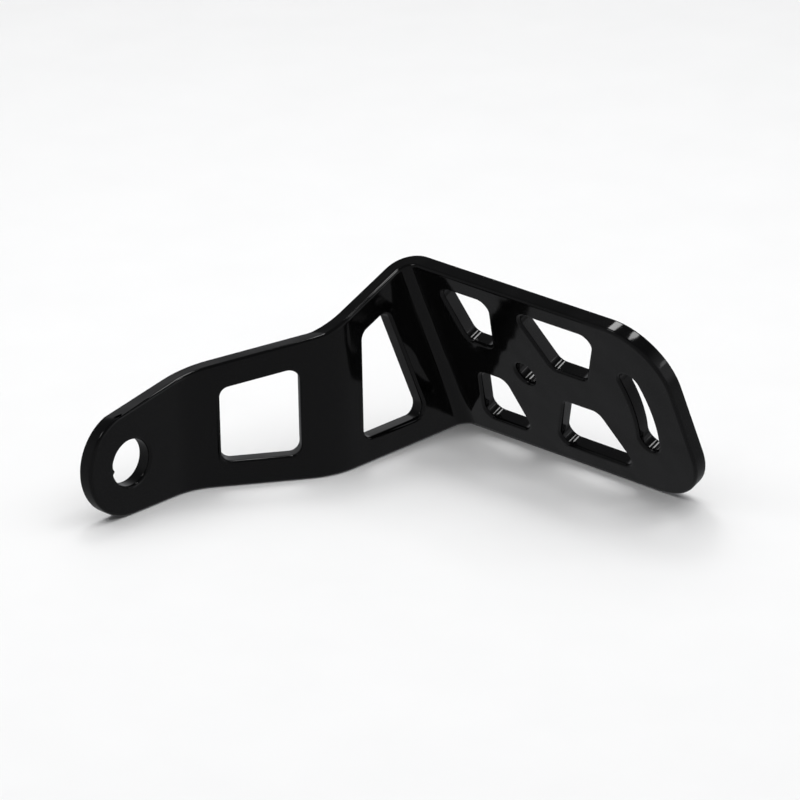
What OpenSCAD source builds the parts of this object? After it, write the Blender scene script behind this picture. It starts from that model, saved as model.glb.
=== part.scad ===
/* Side plate bracket: one laser-cut steel plate with a joggled arm and a
   skewed flag, folded three times. Millimetres, +Z up, standing on its
   bottom edges. The front faces look towards -Y. The origin is under the
   middle of the bounding box. */

/* [Plate and folds] */
// thickness of the plate
plate_t = 6; // [3:0.5:8]
// radius on the inner side of the two wide folds of the joggle
joggle_fold_r = 24; // [12:1:26]
// radius on the inner side of the tight fold of the flag
flag_fold_r = 5; // [2:0.5:7]
// how far the two folds of the joggle turn, in degrees
joggle_angle = 35; // [15:1:50]
// how far the fold of the flag leans from upright, in degrees
flag_lean = 22.8; // [10:0.2:30]

/* [Tab] */
// bore for the clamping bolt
axle_d = 17.5; // [8:0.5:24]
// radius of the rounded end, concentric with the bore
tab_r = 20; // [16:0.5:26]
// from the axis of the bore to the first fold
tab_reach = 29; // [24:1:50]

/* [Arm] */
// length of the slanted panel between the two folds of the joggle
joggle_l = 52.5; // [44:0.5:80]
// from the second fold to the fold of the flag, along the bottom edge
arm_l = 68.8; // [62:0.2:90]
// slope of the top edge of the tab and the slanted panel, in degrees
arm_slope = 11; // [4:0.5:14]
// width of plate left above and below the arm windows
arm_rim = 9.8; // [6:0.2:12]
// from the first fold to the window of the slanted panel
joggle_window_start = 10.9; // [9:0.1:14]
// from the window of the slanted panel to the second fold
joggle_window_end = 12.3; // [9:0.1:14]
// from either fold to the window of the arm panel
arm_window_gap = 15.4; // [13:0.1:18]
// width of plate left above the window of the arm panel
arm_window_top = 10.4; // [8:0.2:14]

/* [Flag] */
// length of the flag from its fold to its free edge
flag_l = 120; // [112:1:140]
// radius of the two free corners
flag_corner_r = 24; // [10:1:30]
// width of plate left outside the flag windows
flag_rim = 8; // [5:0.5:10]
// width of plate left between the upper and the lower windows
flag_spine = 16; // [14:0.5:20]
// middle of the two narrow windows, from the fold
narrow_x = 24.6; // [23:0.1:26]
// width of the narrow windows at the outer edge of the flag
narrow_w = 24.4; // [20:0.2:26]
// slant of the sides of the narrow windows, in degrees
narrow_slant = 14.4; // [5:0.2:16]
// middle of the two wide windows, from the fold
wide_x = 68.6; // [66:0.2:71]
// width of the wide windows at the outer edge of the flag
wide_w = 38.5; // [30:0.5:40]
// slant of the sides of the wide windows, in degrees
wide_slant = 25.4; // [15:0.2:27]
// corner radius of all the windows
window_r = 4; // [2:0.5:4.5]

/* [Plate fixings] */
// pivot hole of the number plate carrier
pivot_d = 9; // [5:0.5:10.5]
// from the fold of the flag to the pivot hole
pivot_x = 44; // [42:0.5:47]
// radius of the middle line of the curved slot, around the pivot hole
slot_radius = 57; // [54:0.5:62]
// width of the curved slot
slot_w = 9; // [5:0.5:10.5]
// angle that the slot reaches above and below the pivot hole
slot_reach = 14; // [6:1:16]

/* [Hidden] */
$fn = 96;
coat = [0.05, 0.05, 0.055];
// how far a cutter stands out of the plate on each side
cut_out = 4;
// arcs are this much larger, so that they cross the straight sides that they
// run into and leave no sliver where they would only touch them
lap = 0.0005;
// side of the blocks that trim whole edges
block = 500;
half_turn = joggle_angle / 2;
// height of the front top edge where the front faces of two panels meet
first_top = tab_r + tab_reach * tan(arm_slope) + tab_r / cos(arm_slope);
second_top = first_top + joggle_l * tan(arm_slope);
// height of the flag along its fold
flag_h = (second_top + arm_l * tan(flag_lean)) * cos(flag_lean);
flag_mid = flag_h / 2;
// seen from above: the first fold, with the second fold at zero
fold_x = -joggle_l * cos(joggle_angle);
fold_y = joggle_l * sin(joggle_angle);
axle_x = fold_x - tab_reach;
// shift of the back corner of a joggle fold against its front corner
mitre = plate_t * tan(half_turn);
// the arm is built in two halves that overlap between these two places
seam_start = (joggle_fold_r + plate_t) * tan(half_turn) + 1;
seam_end = seam_start + 4;
// middle of the bounding box, which becomes the origin
mid_x = (axle_x - tab_r + arm_l + plate_t * cos(flag_lean)) / 2;
mid_y = (fold_y + plate_t - flag_l) / 2;

function unit(v) = v / norm(v);
function before(i, n) = (i + n - 1) % n;
function after(i, n) = (i + 1) % n;
// the two directions that leave corner i along the sides of polygon p
function side_a(p, i) = unit(p[before(i, len(p))] - p[i]);
function side_b(p, i) = unit(p[after(i, len(p))] - p[i]);
function half_angle(a, b) = acos(a * b) / 2;
// centre of the arc of radius r between two sides that leave q along a and b
function arc_centre(q, a, b, r) = q + unit(a + b) * r / sin(half_angle(a, b));
// where that arc touches the side that leaves q along a
function touch(q, a, b, r) = q + a * r / tan(half_angle(a, b));

// convex polygon p with its corners rounded to radius r
module rounded(p, r) {
    last = len(p) - 1;
    polygon([for (i = [0 : last], k = [0, 1])
        k == 0 ? touch(p[i], side_a(p, i), side_b(p, i), r)
            : touch(p[i], side_b(p, i), side_a(p, i), r)]);
    for (i = [0 : last])
        translate(arc_centre(p[i], side_a(p, i), side_b(p, i), r))
            circle(r = r + lap);
}

// plan of the plate with sharp folds as children; the fold with its inner
// corner at q and legs along a and b gets the inner radius r
module fold_radii(q, a, b, r) {
    c = arc_centre(q, a, b, r);
    out_a = unit(touch(q, a, b, r) - c);
    out_b = unit(touch(q, b, a, r) - c);
    out_q = unit(q - c);
    inside = r + plate_t / 2;
    outside = r + plate_t;
    reach = outside + 2 * cut_out;
    difference() {
        union() {
            children();
            difference() {
                polygon([
                    c,
                    c + inside * out_a,
                    q + plate_t / 2 * out_q,
                    c + inside * out_b
                ]);
                translate(c) circle(r = r + lap);
            }
        }
        difference() {
            polygon([
                c,
                c + reach * out_a,
                c + 2 * reach * out_q,
                c + reach * out_b
            ]);
            translate(c) circle(r = outside + lap);
        }
    }
}

// cutter for an upright drawing: x stays, y goes up, the plate starts at y = 0
module through() {
    translate([0, plate_t + cut_out, 0]) rotate([90, 0, 0])
        linear_extrude(plate_t + 2 * cut_out) children();
}

// block that lies on the plane through three points, on its upper side
module above(a, b, c) {
    side = unit(cross(b - a, c - a));
    n = side[2] < 0 ? -side : side;
    translate(a) rotate([0, acos(n[2]), atan2(n[1], n[0])])
        translate([-block / 2, -block / 2, 0]) cube(block);
}

// tab, slanted panel and start of the arm panel, seen from above
module joggle_plan() {
    start = axle_x - tab_r - cut_out / 2;
    down = [cos(joggle_angle), -sin(joggle_angle)];
    fold_radii([fold_x, fold_y], [-1, 0], down, joggle_fold_r)
        fold_radii([mitre, plate_t], -down, [1, 0], joggle_fold_r)
            polygon([
                [start, fold_y],
                [fold_x, fold_y],
                [0, 0],
                [seam_end, 0],
                [seam_end, plate_t],
                [mitre, plate_t],
                [fold_x + mitre, fold_y + plate_t],
                [start, fold_y + plate_t]
            ]);
}

// end of the arm panel and the flag, seen along the fold of the flag
module flag_plan() {
    fold_radii([0, 0], [-1, 0], [0, -1], flag_fold_r)
        polygon([
            [-block / 2, 0],
            [0, 0],
            [0, -flag_l],
            [plate_t, -flag_l],
            [plate_t, plate_t],
            [-block / 2, plate_t]
        ]);
}

// everything beyond the square-cut top edge of the arm panel and the flag
module beyond_flag_top() {
    translate([arm_l, 0, 0]) rotate([0, -flag_lean, 0])
        translate([-block / 2, -block / 2, flag_h]) cube(block);
}

// what lies outside the round end of the tab, as an upright drawing
module outside_tab_end() {
    reach = tab_r + cut_out;
    difference() {
        polygon([
            [0, 0],
            reach * [-sin(arm_slope), cos(arm_slope)],
            [-reach, reach],
            [-reach, -reach],
            [0, -reach]
        ]);
        circle(r = tab_r + lap);
    }
}

// the window of the slanted panel, from the first fold
module joggle_window() {
    start = joggle_window_start;
    end = joggle_l - joggle_window_end;
    rise = tan(arm_slope);
    top = first_top - arm_rim / cos(arm_slope);
    rounded([
        [start, arm_rim],
        [end, arm_rim],
        [end, top + end * rise],
        [start, top + start * rise]
    ], window_r);
}

// the window of the arm panel, from the second fold
module arm_window() {
    rise = tan(flag_lean);
    top = second_top - arm_window_top / cos(flag_lean);
    // where the slanted right side would reach the bottom edge of the arm
    foot = arm_l - arm_window_gap / cos(flag_lean);
    peak_x = (foot - top * rise) * pow(cos(flag_lean), 2);
    rounded([
        [arm_window_gap, arm_rim],
        [foot - arm_rim * rise, arm_rim],
        [peak_x, top + peak_x * rise],
        [arm_window_gap, top + arm_window_gap * rise]
    ], window_r);
}

// tab, slanted panel and start of the arm panel
module joggle() {
    rise = tan(arm_slope);
    corner = [fold_x, fold_y, first_top];
    along_tab = [1, 0, rise];
    along_joggle = [cos(joggle_angle), -sin(joggle_angle), rise];
    // the top edges of the tab and the slanted panel meet on this level line
    crease = [sin(half_turn), cos(half_turn), 0];
    difference() {
        linear_extrude(flag_h) joggle_plan();
        intersection() {
            above(corner, corner + along_tab, corner + crease);
            above(corner, corner + along_joggle, corner + crease);
            beyond_flag_top();
        }
        translate([axle_x, fold_y, tab_r]) through() outside_tab_end();
        translate([axle_x, fold_y, tab_r]) through() circle(d = axle_d);
        translate([fold_x, fold_y, 0]) rotate([0, 0, -joggle_angle])
            through() joggle_window();
    }
}

// window of the flag: centre x, width at the outer edge, slant of its sides
module flag_window(x, w, slant) {
    inner = flag_spine / 2;
    outer = flag_mid - flag_rim;
    wide = w / 2;
    slim = wide - (outer - inner) * tan(slant);
    rounded([
        [x - slim, inner],
        [x + slim, inner],
        [x + wide, outer],
        [x - wide, outer]
    ], window_r);
}

module flag_window_row() {
    flag_window(narrow_x, narrow_w, narrow_slant);
    flag_window(wide_x, wide_w, wide_slant);
}

// what lies outside the upper free corner of the flag
module outside_flag_corner() {
    reach = flag_corner_r + cut_out;
    translate([flag_l - flag_corner_r, flag_mid - flag_corner_r]) difference() {
        square(reach);
        circle(r = flag_corner_r + lap);
    }
}

// slot on an arc about the pivot hole
module curved_slot() {
    depth = plate_t + 2 * cut_out;
    rotate([0, 0, -slot_reach]) rotate_extrude(angle = 2 * slot_reach)
        translate([slot_radius - slot_w / 2, 0]) square([slot_w, depth]);
    for (a = [-slot_reach, slot_reach])
        rotate([0, 0, a]) translate([slot_radius, 0, 0])
            cylinder(d = slot_w, h = depth);
}

// all that is cut out of the flag, laid out from the fold and the middle line
module flag_cuts() {
    depth = plate_t + 2 * cut_out;
    linear_extrude(depth) {
        flag_window_row();
        mirror([0, 1]) flag_window_row();
        outside_flag_corner();
        mirror([0, 1]) outside_flag_corner();
    }
    translate([pivot_x, 0, 0]) {
        cylinder(d = pivot_d, h = depth);
        curved_slot();
    }
}

// end of the arm panel and the flag
module flag() {
    difference() {
        translate([arm_l, 0, 0]) rotate([0, -flag_lean, 0]) difference() {
            linear_extrude(flag_h) flag_plan();
            translate([plate_t + cut_out, 0, flag_mid]) rotate([90, 0, -90])
                flag_cuts();
        }
        translate([seam_start - block, -block / 2, -block / 2]) cube(block);
        translate([-block / 2, -block / 2, -block]) cube(block);
    }
}

module bracket() {
    color(coat) translate([-mid_x, -mid_y, 0]) difference() {
        union() {
            joggle();
            flag();
        }
        through() arm_window();
    }
}

bracket();
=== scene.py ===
"""Looks of the side plate bracket: one folded steel plate in a gloss black coat.

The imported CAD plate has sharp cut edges. Here it gets the rounded edges of a
punched and coated plate, the coat itself with its faint orange peel, and a
studio: a white floor, soft boxes, dim walls and the camera of the photograph.
Everything is in metres, in the frame of the CAD part.
"""

from __future__ import annotations

import logging
import math
from dataclasses import dataclass, field
from enum import Enum

import bmesh
import bpy
from mathutils import Matrix, Vector
from mathutils.bvhtree import BVHTree


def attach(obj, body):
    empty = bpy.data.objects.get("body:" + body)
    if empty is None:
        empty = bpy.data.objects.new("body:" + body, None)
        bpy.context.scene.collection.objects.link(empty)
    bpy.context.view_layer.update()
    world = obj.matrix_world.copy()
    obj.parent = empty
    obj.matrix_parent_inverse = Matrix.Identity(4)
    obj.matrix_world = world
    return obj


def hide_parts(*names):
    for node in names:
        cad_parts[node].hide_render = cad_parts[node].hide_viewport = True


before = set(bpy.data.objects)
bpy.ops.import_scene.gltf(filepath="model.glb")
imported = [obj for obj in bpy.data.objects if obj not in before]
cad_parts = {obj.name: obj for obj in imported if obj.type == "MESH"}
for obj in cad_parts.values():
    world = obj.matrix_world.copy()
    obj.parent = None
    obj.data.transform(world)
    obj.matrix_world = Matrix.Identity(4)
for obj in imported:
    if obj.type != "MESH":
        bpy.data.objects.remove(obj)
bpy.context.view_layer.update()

log = logging.getLogger("side_plate_bracket")

MM = 0.001
VIEW_TRANSFORM = "Standard"
# the flag's upper corner, which two soft boxes and the card face
FLAG_CORNER = Vector((53 * MM, -58 * MM, 74 * MM))


def linear(hex_colour: str) -> tuple[float, float, float, float]:
    """Turns an sRGB hex colour into Blender's linear colour.

    Args:
        hex_colour: the colour as "#rrggbb".

    Returns:
        Red, green, blue and an alpha of 1.
    """
    channels = [int(hex_colour[i : i + 2], 16) / 255 for i in (1, 3, 5)]
    light = [c / 12.92 if c <= 0.04045 else ((c + 0.055) / 1.055) ** 2.4 for c in channels]
    return light[0], light[1], light[2], 1.0


def add_node(
    tree: bpy.types.NodeTree,
    kind: str,
    settings: dict[str, object] | None = None,
    inputs: dict[str | int, object] | None = None,
) -> bpy.types.Node:
    """Adds a node with its settings, input values and links.

    Args:
        tree: the node tree that takes the node.
        kind: Blender's name of the node type.
        settings: properties of the node.
        inputs: for each input a value, or the output socket that it is linked to.

    Returns:
        The new node.
    """
    node = tree.nodes.new(kind)
    for name, value in (settings or {}).items():
        setattr(node, name, value)
    for name, value in (inputs or {}).items():
        if isinstance(value, bpy.types.NodeSocket):
            tree.links.new(value, node.inputs[name])
        else:
            node.inputs[name].default_value = value
    return node


def empty_material(name: str) -> tuple[bpy.types.Material, bpy.types.NodeTree]:
    """Makes a material without nodes.

    Args:
        name: what the material is called.

    Returns:
        The material and its empty node tree.
    """
    material = bpy.data.materials.new(name)
    material.use_nodes = True
    material.node_tree.nodes.clear()
    return material, material.node_tree


def object_from(name: str, mesh: bmesh.types.BMesh) -> bpy.types.Object:
    """Turns a finished bmesh into an object at the origin.

    Args:
        name: name of the object and its mesh.
        mesh: the bmesh, which is freed.

    Returns:
        The object, linked to the scene.
    """
    data = bpy.data.meshes.new(name)
    mesh.to_mesh(data)
    mesh.free()
    thing = bpy.data.objects.new(name, data)
    bpy.context.scene.collection.objects.link(thing)
    return thing


def direction(azimuth: float, elevation: float) -> Vector:
    """Gives the unit vector towards a place in the studio.

    Args:
        azimuth: degrees from the front (-Y) towards +X.
        elevation: degrees above the floor.

    Returns:
        The unit vector.
    """
    turn, rise = math.radians(azimuth), math.radians(elevation)
    return Vector(
        (math.sin(turn) * math.cos(rise), -math.cos(turn) * math.cos(rise), math.sin(rise))
    )


@dataclass(frozen=True)
class GlossBlackPowderCoat:
    """Polyester powder, sprayed dry on the steel and baked until it flows out.

    The eye sees a near-black film with sharp reflections that waver slightly:
    the powder never levels out completely, which leaves orange peel.
    """

    name: str = "gloss black powder coat on steel"
    deep_black: str = "#030303"
    thin_black: str = "#050506"
    tone_size: float = 30 * MM
    tone_detail: float = 3.0
    # the band of the tone noise over which the coat goes from clear to hazy
    haze_from: float = 0.3
    haze_to: float = 0.7
    roughness_clear: float = 0.07
    roughness_hazy: float = 0.11
    ior: float = 1.5
    # orange peel, a few millimetres across and about a micron high
    peel_size: float = 2.2 * MM
    peel_height: float = 0.0012 * MM
    peel_detail: float = 2.0
    # slow waviness of the sheet; it is drawn higher than on a real sheet, so that
    # the edges of the reflections bend as much as in the photo
    wave_size: float = 16 * MM
    wave_height: float = 0.4 * MM
    wave_detail: float = 1.0

    def make(self) -> bpy.types.Material:
        """Builds the material.

        Returns:
            The material.
        """
        material, tree = empty_material(self.name)
        place = add_node(tree, "ShaderNodeTexCoord").outputs["Object"]
        tone = add_node(
            tree,
            "ShaderNodeTexNoise",
            inputs={"Vector": place, "Scale": 1 / self.tone_size, "Detail": self.tone_detail},
        )
        colour = add_node(
            tree,
            "ShaderNodeMix",
            {"data_type": "RGBA"},
            {
                "Factor": tone.outputs["Fac"],
                "A": linear(self.deep_black),
                "B": linear(self.thin_black),
            },
        )
        haze = add_node(
            tree,
            "ShaderNodeMapRange",
            inputs={
                "Value": tone.outputs["Fac"],
                "From Min": self.haze_from,
                "From Max": self.haze_to,
                "To Min": self.roughness_clear,
                "To Max": self.roughness_hazy,
            },
        )
        wave = add_node(
            tree,
            "ShaderNodeTexNoise",
            inputs={"Vector": place, "Scale": 1 / self.wave_size, "Detail": self.wave_detail},
        )
        peel = add_node(
            tree,
            "ShaderNodeTexNoise",
            inputs={"Vector": place, "Scale": 1 / self.peel_size, "Detail": self.peel_detail},
        )
        waved = add_node(
            tree,
            "ShaderNodeBump",
            inputs={"Distance": self.wave_height, "Height": wave.outputs["Fac"]},
        )
        peeled = add_node(
            tree,
            "ShaderNodeBump",
            inputs={
                "Distance": self.peel_height,
                "Height": peel.outputs["Fac"],
                "Normal": waved.outputs["Normal"],
            },
        )
        shader = add_node(
            tree,
            "ShaderNodeBsdfPrincipled",
            inputs={
                "Base Color": colour.outputs["Result"],
                "Roughness": haze.outputs["Result"],
                "IOR": self.ior,
                "Normal": peeled.outputs["Normal"],
            },
        )
        add_node(tree, "ShaderNodeOutputMaterial", inputs={"Surface": shader.outputs["BSDF"]})
        return material


@dataclass(frozen=True)
class WhitePaperSweep:
    """Matt white background paper: it scatters the light evenly and shows no gloss."""

    name: str = "matt white background paper"
    bright: str = "#f4f4f4"
    dull: str = "#f0f0f0"
    # fibres are far finer than this; the paper's faint clouds are this wide
    cloud_size: float = 40 * MM
    roughness: float = 0.9
    specular: float = 0.0

    def make(self) -> bpy.types.Material:
        """Builds the material.

        Returns:
            The material.
        """
        material, tree = empty_material(self.name)
        place = add_node(tree, "ShaderNodeTexCoord").outputs["Object"]
        cloud = add_node(
            tree,
            "ShaderNodeTexNoise",
            inputs={"Vector": place, "Scale": 1 / self.cloud_size},
        )
        colour = add_node(
            tree,
            "ShaderNodeMix",
            {"data_type": "RGBA"},
            {
                "Factor": cloud.outputs["Fac"],
                "A": linear(self.dull),
                "B": linear(self.bright),
            },
        )
        shader = add_node(
            tree,
            "ShaderNodeBsdfPrincipled",
            inputs={
                "Base Color": colour.outputs["Result"],
                "Roughness": self.roughness,
                "Specular IOR Level": self.specular,
            },
        )
        add_node(tree, "ShaderNodeOutputMaterial", inputs={"Surface": shader.outputs["BSDF"]})
        return material


@dataclass(frozen=True)
class Nib:
    """A grain that the coat has flowed over, such as sits on the rim of the large bore."""

    place: tuple[float, float, float]
    reach: float
    height: float

    def raise_on(self, mesh: bmesh.types.BMesh) -> None:
        """Lifts the coat round the grain.

        Args:
            mesh: the rounded plate.
        """
        centre = Vector(self.place)
        mesh.normal_update()
        near = [v for v in mesh.verts if (v.co - centre).length < self.reach]
        lifts = [
            v.normal * self.height * (1 - ((v.co - centre).length / self.reach) ** 2) for v in near
        ]
        for vertex, lift in zip(near, lifts):
            vertex.co += lift


class Side(Enum):
    """The two broad sides of the plate, with the way that their largest flat faces."""

    FRONT = (0.0, -1.0, 0.0)
    BACK = (0.0, 1.0, 0.0)


@dataclass
class FoldedPlate:
    """The folded plate: tab, joggle, arm and flag in one piece of steel.

    The front is the side inside the flag's fold. Its edges are the well rounded
    ones; those of the back are crisper, as on a punched blank.
    """

    coat: GlossBlackPowderCoat
    node: str = "bracket"
    body: str = "root"
    slot: str = "black_coat"
    name: str = "folded_plate"
    weld_distance: float = 0.002 * MM
    flat_angle: float = 0.6
    edge_angle: float = 40.0
    front_radius: float = 1.3 * MM
    back_radius: float = 0.7 * MM
    edge_segments: int = 4
    stray_distance: float = 1.0 * MM
    nibs: tuple[Nib, ...] = (
        Nib((-72.0 * MM, 72.4 * MM, 19.4 * MM), reach=1.4 * MM, height=0.8 * MM),
    )

    def build(self) -> bpy.types.Object:
        """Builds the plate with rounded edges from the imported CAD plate.

        Returns:
            The dressed plate.
        """
        mesh = bmesh.new()
        mesh.from_mesh(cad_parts[self.node].data)
        bmesh.ops.remove_doubles(mesh, verts=mesh.verts, dist=self.weld_distance)
        bmesh.ops.dissolve_limit(
            mesh,
            angle_limit=math.radians(self.flat_angle),
            verts=mesh.verts,
            edges=mesh.edges,
        )
        sharp = BVHTree.FromBMesh(mesh)
        self._round_edges(mesh, Side.FRONT, self.front_radius)
        self._round_edges(mesh, Side.BACK, self.back_radius)
        self._mend_strays(mesh, sharp)
        for nib in self.nibs:
            nib.raise_on(mesh)
        for face in mesh.faces:
            face.smooth = True
        plate = object_from(self.name, mesh)
        self.dress(plate)
        return plate

    def dress(self, plate: bpy.types.Object) -> None:
        """Coats the plate and puts it in the place of the CAD plate.

        Args:
            plate: the plate with rounded edges.
        """
        normals = plate.modifiers.new("even shading", "WEIGHTED_NORMAL")
        normals.keep_sharp = False
        plate.data.materials.append(self.coat.make())
        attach(plate, self.body)
        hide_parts(self.node)

    def _skin(self, mesh: bmesh.types.BMesh, side: Side) -> set[bmesh.types.BMFace]:
        """Collects one broad side of the plate, over all its folds.

        Args:
            mesh: the merged plate.
            side: which of the two sides.

        Returns:
            The faces of that side.
        """
        limit = math.radians(self.edge_angle)
        outward = Vector(side.value)
        first = max(mesh.faces, key=lambda f: f.calc_area() * f.normal.dot(outward))
        skin, waiting = {first}, [first]
        while waiting:
            for edge in waiting.pop().edges:
                if edge.calc_face_angle() > limit:
                    continue
                for face in edge.link_faces:
                    if face not in skin:
                        skin.add(face)
                        waiting.append(face)
        return skin

    def _round_edges(self, mesh: bmesh.types.BMesh, side: Side, radius: float) -> None:
        """Rounds the cut edges round one broad side of the plate.

        Args:
            mesh: the merged plate.
            side: which of the two sides.
            radius: radius of the rounded edges.
        """
        skin = self._skin(mesh, side)
        cut = [e for e in mesh.edges if sum(face in skin for face in e.link_faces) == 1]
        bmesh.ops.bevel(
            mesh,
            geom=cut,
            offset=radius,
            offset_type="OFFSET",
            segments=self.edge_segments,
            profile=0.5,
            affect="EDGES",
            clamp_overlap=False,
            loop_slide=True,
            material=-1,
        )

    def _mend_strays(self, mesh: bmesh.types.BMesh, sharp: BVHTree) -> None:
        """Mends points that the rounding threw off the plate.

        Far strays are merged with their nearest neighbour, the others go back
        on the surface.

        Args:
            mesh: the rounded plate.
            sharp: the plate before the rounding.
        """
        strays = []
        for vertex in mesh.verts:
            place, normal, _, off = sharp.find_nearest(vertex.co)
            if off > self.stray_distance:
                strays.append((off, vertex))
            elif (vertex.co - place).dot(normal) > self.weld_distance:
                vertex.co = place
        for _, vertex in sorted(strays, key=lambda pair: pair[0], reverse=True):
            around = [edge.other_vert(vertex) for edge in vertex.link_edges]
            near = min(around, key=lambda other: (other.co - vertex.co).length)
            bmesh.ops.pointmerge(mesh, verts=[near, vertex], merge_co=near.co)


@dataclass
class StudioFloor:
    """A plain pale floor under the bracket."""

    paper: WhitePaperSweep
    half_width: float = 4.0
    squares: int = 8
    name: str = "floor"

    def build(self) -> bpy.types.Object:
        """Builds the floor.

        Returns:
            The floor, which glossy rays don't see.
        """
        mesh = bmesh.new()
        bmesh.ops.create_grid(
            mesh, x_segments=self.squares, y_segments=self.squares, size=self.half_width
        )
        floor = object_from(self.name, mesh)
        floor.data.materials.append(self.paper.make())
        # the coat mirrors the dim studio all round and not the bright paper
        floor.visible_glossy = False
        return floor


@dataclass
class SoftBox:
    """An area light with a white front, which faces the bracket.

    The angles are those of direction(), seen from the point that it faces.
    """

    name: str
    azimuth: float
    elevation: float
    distance: float
    width: float
    height: float
    radiance: float
    mirrored: bool = True
    aim: Vector = field(default_factory=lambda: Vector((0.0, 0.0, 30 * MM)))

    def build(self) -> bpy.types.Object:
        """Builds the light.

        Returns:
            The light's object.
        """
        lamp = bpy.data.lights.new(self.name, "AREA")
        lamp.shape = "RECTANGLE"
        lamp.size = self.width
        lamp.size_y = self.height
        lamp.energy = self.radiance * math.pi * self.width * self.height
        light = bpy.data.objects.new(self.name, lamp)
        light.visible_glossy = self.mirrored
        towards = direction(self.azimuth, self.elevation)
        facing = towards.to_track_quat("Z", "Y").to_matrix().to_4x4()
        light.matrix_world = Matrix.Translation(self.aim + self.distance * towards) @ facing
        bpy.context.scene.collection.objects.link(light)
        return light


@dataclass(frozen=True)
class StudioAir:
    """The studio's walls: pale low down on the right, dim elsewhere."""

    colour: str = "#fbfcff"
    below: float = 0.185
    low: float = 0.46
    overhead: float = 0.08
    # parts of a unit direction: to the right, up to the horizon, up to the roof
    right_from: float = -0.2
    right_to: float = 0.5
    horizon_from: float = -0.2
    horizon_to: float = 0.05
    roof_from: float = 0.35
    roof_to: float = 0.8

    def build(self) -> bpy.types.World:
        """Builds the world.

        Returns:
            The world.
        """
        world = bpy.data.worlds.new("studio air")
        world.use_nodes = True
        tree = world.node_tree
        tree.nodes.clear()
        place = add_node(tree, "ShaderNodeTexCoord").outputs["Object"]
        towards = add_node(tree, "ShaderNodeSeparateXYZ", inputs={"Vector": place})
        side = add_node(
            tree,
            "ShaderNodeMapRange",
            {"interpolation_type": "SMOOTHSTEP"},
            {
                "Value": towards.outputs["X"],
                "From Min": self.right_from,
                "From Max": self.right_to,
                "To Min": self.below,
                "To Max": self.low,
            },
        )
        rising = add_node(
            tree,
            "ShaderNodeMapRange",
            {"interpolation_type": "SMOOTHSTEP"},
            {
                "Value": towards.outputs["Z"],
                "From Min": self.horizon_from,
                "From Max": self.horizon_to,
                "To Min": self.below,
                "To Max": side.outputs["Result"],
            },
        )
        fading = add_node(
            tree,
            "ShaderNodeMapRange",
            {"interpolation_type": "SMOOTHSTEP"},
            {
                "Value": towards.outputs["Z"],
                "From Min": self.roof_from,
                "From Max": self.roof_to,
                "To Min": rising.outputs["Result"],
                "To Max": self.overhead,
            },
        )
        light = add_node(
            tree,
            "ShaderNodeBackground",
            inputs={"Color": linear(self.colour), "Strength": fading.outputs["Result"]},
        )
        add_node(tree, "ShaderNodeOutputWorld", inputs={"Surface": light.outputs["Background"]})
        bpy.context.scene.world = world
        return world


@dataclass(frozen=True)
class PhotoCamera:
    """The camera of the photograph, found from the edges of the plate."""

    aim: tuple[float, float, float] = (2.083 * MM, 1.765 * MM, 43.788 * MM)
    azimuth: float = -45.162
    elevation: float = 22.757
    roll: float = -1.106
    distance: float = 1790.64 * MM
    lens: float = 227.70
    sensor: float = 36.0
    nearest: float = 0.1
    farthest: float = 20.0

    def build(self) -> bpy.types.Object:
        """Builds the camera and makes it the scene's camera.

        Returns:
            The camera.
        """
        optics = bpy.data.cameras.new("photo camera")
        optics.sensor_fit = "HORIZONTAL"
        optics.sensor_width = self.sensor
        optics.lens = self.lens
        optics.clip_start = self.nearest
        optics.clip_end = self.farthest
        camera = bpy.data.objects.new("photo camera", optics)
        towards = direction(self.azimuth, self.elevation)
        facing = towards.to_track_quat("Z", "Y").to_matrix().to_4x4()
        camera.matrix_world = (
            Matrix.Translation(Vector(self.aim) + self.distance * towards)
            @ facing
            @ Matrix.Rotation(math.radians(self.roll), 4, "Z")
        )
        bpy.context.scene.collection.objects.link(camera)
        bpy.context.scene.camera = camera
        return camera


def soft_boxes() -> tuple[SoftBox, ...]:
    """Lists the lights of the studio.

    Returns:
        The lights, of which the last lights only the floor and isn't mirrored.
    """
    return (
        SoftBox(
            "top soft box",
            azimuth=45,
            elevation=79,
            distance=0.7,
            width=0.10,
            height=0.10,
            radiance=7.0,
            aim=FLAG_CORNER,
        ),
        SoftBox(
            "back soft box",
            azimuth=158,
            elevation=62,
            distance=0.8,
            width=0.17,
            height=0.18,
            radiance=7.0,
            aim=FLAG_CORNER,
        ),
        SoftBox(
            "left soft box",
            azimuth=-128,
            elevation=50,
            distance=1.0,
            width=0.30,
            height=0.12,
            radiance=3.0,
        ),
        SoftBox(
            "low front card",
            azimuth=25,
            elevation=21,
            distance=0.6,
            width=0.055,
            height=0.055,
            radiance=1.3,
            aim=FLAG_CORNER,
        ),
        SoftBox(
            "paper light",
            azimuth=0,
            elevation=90,
            distance=1.6,
            width=3.0,
            height=3.0,
            radiance=1.6,
            mirrored=False,
        ),
    )


def main() -> None:
    """Builds the bracket and the studio and reports each piece."""
    logging.basicConfig(level=logging.INFO, format="%(name)s: %(message)s")
    bpy.context.scene.view_settings.view_transform = VIEW_TRANSFORM
    PhotoCamera().build()
    plate = FoldedPlate(GlossBlackPowderCoat()).build()
    log.info("%s: %d faces", plate.name, len(plate.data.polygons))
    floor = StudioFloor(WhitePaperSweep()).build()
    log.info("%s: %d faces", floor.name, len(floor.data.polygons))
    StudioAir().build()
    for lamp in soft_boxes():
        log.info("%s at %s", lamp.name, lamp.build().location)


if __name__ == "__main__":
    main()
